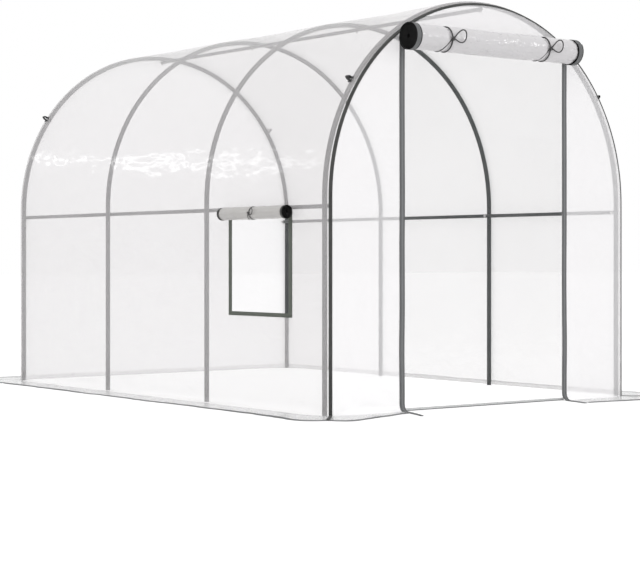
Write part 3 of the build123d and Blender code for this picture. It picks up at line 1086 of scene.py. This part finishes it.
def tape_roll(name, node, along_x, finishes):
    """The tape that is rolled up in both ends of a roll, turn on turn."""
    middle, size, half = roll_measures(node, along_x)
    width = half - roll_measures(node.replace("_ends", ""), along_x)[2]
    pitch = own("roll").layer * size / 0.065
    turns = (size - 0.18 * size) / pitch
    rows = width / 7
    wound_ends = []
    for side in (-1, 1):
        wound = flat_sheet((0, 0), (width, turns * 2 * pi), (rows, 0.16))
        # Painted shade: the inner turns and the tape's edges take the near-black core finish, for the dark
        # between the turns
        second_finish(wound, lambda at: at.y >= 2 * pi or min(at.x, width - at.x) < rows)

        def spiral(run, around):
            return size - pitch * 0.3 - pitch * around / (2 * pi), around + side

        turn_on_turn = rolled(spiral, middle, along_x)

        def place(run, around):
            recess = 0.004 * smooth_step((around - 2 * pi) / 0.6)
            return turn_on_turn(side * (half - min(width, run + recess)), around)

        bend(wound, place)
        point_faces_out(wound)
        wound_ends.append(wound)
    piece_from(name, joined(wound_ends), finishes, [node], pitch * 0.62)


def add_cord(bm, points, size, closed=True):
    """Adds a short cord through points, as a tube of that radius."""
    curve = bpy.data.curves.new("cord", "CURVE")
    curve.dimensions = "3D"
    curve.bevel_depth = size
    curve.bevel_resolution = 3
    curve.resolution_u = 6
    curve.use_fill_caps = True
    spline = curve.splines.new("NURBS")
    spline.points.add(len(points) - 1)
    for point, co in zip(spline.points, points):
        point.co = (*co, 1)
    spline.order_u = 3
    spline.use_cyclic_u = closed
    spline.use_endpoint_u = not closed
    carrier = bpy.data.objects.new("cord", curve)
    bpy.context.scene.collection.objects.link(carrier)
    bpy.context.view_layer.update()
    mesh = bpy.data.meshes.new_from_object(carrier.evaluated_get(bpy.context.evaluated_depsgraph_get()))
    bm.from_mesh(mesh)
    bpy.data.objects.remove(carrier)
    bpy.data.curves.remove(curve)
    bpy.data.meshes.remove(mesh)


def tie_cords(name, node, roll_node, places, cord, loop, along_x):
    """The cords that hold a roll up: two turns round it, a knot in front, and a loop to pull."""
    middle, size, _ = roll_measures(roll_node, along_x)
    ring, out = size - cord / 2, size + cord / 2
    reach_out, across = loop
    grow = 0.52 * cord
    # Outline of the loop, as shares of its reach and of half its width
    outline = ((0.02, 0.0), (0.22, 0.4), (0.5, 1.0), (0.82, 1.15), (1.04, 0.6), (1.04, -0.4), (0.82, -1.05),
               (0.5, -0.95), (0.22, -0.4), (0.02, 0.0))
    bm = bmesh.new()
    for place in places:

        def point(run, off, up):
            return beside_roll(middle, along_x, (place + run) * (1 if along_x else -1), off, up)

        for stray in (0.0, 0.75):
            turn = []
            for step in range(24):
                angle = 2 * pi * step / 24
                drift = -stray * ring * max(0.0, sin(angle)) ** 0.8
                turn.append(point(drift, ring * cos(angle), -ring * sin(angle)))
            add_cord(bm, turn, cord / 2)
        knot = []
        for step in range(18):
            t = 2 * pi * step / 18
            aside, up = sin(t) + 2 * sin(2 * t), cos(t) - 2 * cos(2 * t)
            knot.append(point(grow * aside, out - grow * sin(3 * t), grow * up))
        add_cord(bm, knot, cord * 0.42)
        pull = []
        for share_out, side in outline:
            run = share_out * reach_out
            pull.append(point(run, out + 0.1 * run, side * across / 2 + 0.22 * run))
        add_cord(bm, pull, cord * 0.48, closed=False)
    piece_from(name, bm, [shared("braided_cord", cord_finish)], [node])


class TUNNEL_OT_door_roll(bpy.types.Operator):
    """Makes the rolled-up door, with the zip tape rolled up in its ends and the cords that hold it"""

    bl_idname = "tunnel.door_roll"
    bl_label = "Rolled-up door"

    def execute(self, context):
        roll, tape = own("roll"), own("tape")
        places, cord, loop = (-0.33, 0.33), roll.door_cord, (0.074, 0.058)
        film = roll_finish("rolled_door_film", roll.tint, 0.0065)
        film_roll("rolled_door", "door_roll", places, cord, True, film)
        zip_tape = woven_finish("rolled_zip_tape", tape.zip_colour, tape.thread, 0.7)
        tape_roll("rolled_door_tape", "door_roll_ends", True, [zip_tape, shared("rolled_core", core_shade_finish)])
        tie_cords("door_ties", "door_roll_ties", "door_roll", places, cord, loop, True)
        return {"FINISHED"}


class TUNNEL_OT_window_roll(bpy.types.Operator):
    """Makes the rolled-up window, with its dark rolled ends and the cord that holds it"""

    bl_idname = "tunnel.window_roll"
    bl_label = "Rolled-up window"

    def execute(self, context):
        roll, tape = own("roll"), own("tape")
        places, cord, loop = (0,), roll.window_cord, (0.04, 0.03)
        # Painted shade: the rolled window's darker tint stands for the shade on it
        film = roll_finish("rolled_window_shaded_film", roll.window_shade_tint, 0.003)
        film_roll("rolled_window", "window_roll", places, cord, False, film)
        dark = woven_finish("rolled_window_tape", tape.binding_colour, tape.thread, 0.7)
        tape_roll("rolled_window_tape", "window_roll_ends", False, [dark, shared("rolled_core", core_shade_finish)])
        tie_cords("window_ties", "window_roll_tie", "window_roll", places, cord, loop, False)
        return {"FINISHED"}


class TUNNEL_OT_guy_loops(bpy.types.Operator):
    """Makes the webbing loops for guy ropes on the shoulders of the end hoops"""

    bl_idname = "tunnel.guy_loops"
    bl_label = "Guy loops"

    def execute(self, context):
        webbing = woven_finish("guy_webbing", own("tape").cord_colour, 0.0016)
        shoulder = asin((loop_height - spring) / (radius + 0.015))
        rise, width, foot, gap = 0.026, 0.024, 0.01, 0.006
        straps = []
        for side in (-1, 1):
            outward = Vector((side * cos(shoulder), 0, sin(shoulder)))
            uphill = Vector((-side * sin(shoulder), 0, cos(shoulder)))
            for y in (hoop_places[0], hoop_places[-1]):
                seat = Vector((0, y, spring)) + outward * (radius + 0.0015)

                def place(across, along):
                    climb, stand = self.strap_profile(along, rise, foot, gap)
                    return seat + uphill * climb + outward * stand + Vector((0, across, 0))

                strap = flat_sheet((-width / 2, 0), (width / 2, 1), (0.0055, 0.025))
                bend(strap, place)
                straps.append(strap)
        bm = joined(straps)
        point_faces_out(bm)
        piece_from("guy_rope_loops", bm, [webbing], ["guy_loops"], 0.0022)
        return {"FINISHED"}

    def strap_profile(self, along, rise, foot, gap):
        """A point of the strap's side view, from one foot round the narrow loop to the other foot."""
        foot_end, climb_end = 0.3, 0.8
        side = -1 if along < 0.5 else 1
        share_up = min(along, 1 - along) * 2
        if share_up < foot_end:
            return side * (gap + foot * (1 - share_up / foot_end)), 0.0
        if share_up < climb_end:
            climb = (share_up - foot_end) / (climb_end - foot_end)
            return side * gap * (1 + 0.35 * sin(pi * climb)), (rise - gap) * climb
        angle = pi / 2 * (share_up - climb_end) / (1 - climb_end)
        return side * gap * cos(angle), rise - gap + gap * sin(angle)


# Studio


def area_light(name, place, target, size, power):
    """A soft light that looks at a point."""
    data = bpy.data.lights.new(name, "AREA")
    data.shape = "RECTANGLE"
    data.size, data.size_y = size
    data.energy = power
    light = bpy.data.objects.new(name, data)
    light.location = place
    light.rotation_euler = (Vector(target) - Vector(place)).to_track_quat("-Z", "Y").to_euler()
    bpy.context.scene.collection.objects.link(light)


def seen_rays(tree):
    """1 for rays that show the background: to the camera, and in gloss or glass."""
    path = tree.nodes.new("ShaderNodeLightPath").outputs
    seen = maths(tree, "MAXIMUM", path["Is Camera Ray"], path["Is Glossy Ray"])
    return maths(tree, "MAXIMUM", seen, path["Is Transmission Ray"])


class StudioSettings(bpy.types.PropertyGroup):
    floor_colour: colour("Floor colour", "Colour of the floor", (0.9, 0.9, 0.9))
    floor_lift: share("Floor lift", "How much brighter the floor shows than it lights", 0.25)
    world_light: FloatProperty(name="World light", description="Strength of the even light", default=0.92)
    key_light: FloatProperty(
        name="Key light", description="Power of the overhead light", default=70, unit="POWER"
    )
    streak_light: FloatProperty(
        name="Streak light", description="Power of the light that glints in the film", default=7, unit="POWER"
    )


class TUNNEL_OT_studio(bpy.types.Operator):
    """Sets the pale floor, the soft light and the camera"""

    bl_idname = "tunnel.studio"
    bl_label = "Studio"

    def execute(self, context):
        scene = context.scene
        studio = own("studio")
        scene.view_settings.view_transform = "Standard"
        self.set_floor(scene, studio)
        self.set_world(scene, studio)
        area_light("key", (-3.5, -4.5, 6.5), (0, 0, 0.8), (4.5, 4.5), studio.key_light)
        area_light("streak", (-3.4, 3.8, 2.62), (-0.98, 0, 1.24), (2.8, 0.1), studio.streak_light)
        area_light("front_glint", (4.4, -6.4, 4.7), (-0.2, -1.6, 1.6), (2.2, 0.25), 4 * studio.streak_light)
        self.set_camera(scene)
        return {"FINISHED"}

    def set_floor(self, scene, studio):
        """A wide pale floor just under the tunnel, which fades into the surround."""
        bm = bmesh.new()
        below = Matrix.Translation((0, 0, -0.001))
        bmesh.ops.create_grid(bm, x_segments=1, y_segments=1, size=60, matrix=below)
        mesh = bpy.data.meshes.new("floor")
        bm.to_mesh(mesh)
        bm.free()
        floor = bpy.data.objects.new("floor", mesh)
        scene.collection.objects.link(floor)
        finish = Finish("floor", Base_Color=studio.floor_colour, Roughness=0.9, Specular_IOR_Level=0,
                        Emission_Color=(1, 1, 1, 1))
        glow = maths(finish.tree, "MULTIPLY", seen_rays(finish.tree), studio.floor_lift)
        finish.feed("Emission Strength", glow)
        mesh.materials.append(finish.material)

    def set_world(self, scene, studio):
        """A white surround that shows at full strength and lights a little less."""
        world = bpy.data.worlds.new("studio")
        scene.world = world
        world.use_nodes = True
        tree = world.node_tree
        background = tree.nodes["Background"]
        background.inputs["Color"].default_value = (1, 1, 1, 1)
        shown = maths(tree, "MULTIPLY", seen_rays(tree), 1 - studio.world_light)
        tree.links.new(maths(tree, "ADD", shown, studio.world_light), background.inputs["Strength"])

    def set_camera(self, scene):
        """The photograph's viewpoint, fitted to the hoops, rails and feet."""
        picture_width, picture_height = 640, 576
        focal_pixels, axis_row = 1743.0, 258.2
        camera = bpy.data.objects.new("camera", bpy.data.cameras.new("camera"))
        scene.collection.objects.link(camera)
        camera.location = (-5.966, -8.001, 0.740)
        camera.rotation_euler = (radians(90), 0, radians(-37.291))
        camera.data.sensor_width = 36
        camera.data.lens = focal_pixels * camera.data.sensor_width / picture_width
        camera.data.shift_y = (axis_row - picture_height / 2) / picture_width
        scene.camera = camera


class TUNNEL_PT_panel(bpy.types.Panel):
    """Lists the pieces of the polytunnel"""

    bl_idname = "TUNNEL_PT_panel"
    bl_label = "Polytunnel"
    bl_space_type = "VIEW_3D"
    bl_region_type = "UI"
    bl_category = "Polytunnel"

    def draw(self, context):
        for group in groups:
            box = self.layout.box()
            for name in own(group).bl_rna.properties.keys():
                if name not in ("rna_type", "name"):
                    box.prop(own(group), name)
        for operator in operators:
            self.layout.operator(operator.bl_idname)


groups = {
    "film": FilmSettings,
    "flap": FlapSettings,
    "steel": SteelSettings,
    "tape": TapeSettings,
    "roll": RollSettings,
    "studio": StudioSettings,
}
operators = [
    TUNNEL_OT_hoops,
    TUNNEL_OT_rails,
    TUNNEL_OT_bolts,
    TUNNEL_OT_cover,
    TUNNEL_OT_ends,
    TUNNEL_OT_flaps,
    TUNNEL_OT_binding,
    TUNNEL_OT_zips,
    TUNNEL_OT_threshold,
    TUNNEL_OT_window_trim,
    TUNNEL_OT_door_roll,
    TUNNEL_OT_window_roll,
    TUNNEL_OT_guy_loops,
    TUNNEL_OT_studio,
]


def register():
    for name, group in groups.items():
        bpy.utils.register_class(group)
        setattr(bpy.types.Scene, "tunnel_" + name, PointerProperty(type=group))
    for operator in operators:
        bpy.utils.register_class(operator)
    bpy.utils.register_class(TUNNEL_PT_panel)


def unregister():
    bpy.utils.unregister_class(TUNNEL_PT_panel)
    for operator in reversed(operators):
        bpy.utils.unregister_class(operator)
    for name, group in groups.items():
        delattr(bpy.types.Scene, "tunnel_" + name)
        bpy.utils.unregister_class(group)


def main():
    register()
    bpy.ops.tunnel.hoops()
    bpy.ops.tunnel.rails()
    bpy.ops.tunnel.bolts()
    bpy.ops.tunnel.cover()
    bpy.ops.tunnel.ends()
    bpy.ops.tunnel.flaps()
    bpy.ops.tunnel.binding()
    bpy.ops.tunnel.zips()
    bpy.ops.tunnel.threshold()
    bpy.ops.tunnel.window_trim()
    bpy.ops.tunnel.door_roll()
    bpy.ops.tunnel.window_roll()
    bpy.ops.tunnel.guy_loops()
    bpy.ops.tunnel.studio()


if __name__ == "__main__":
    main()
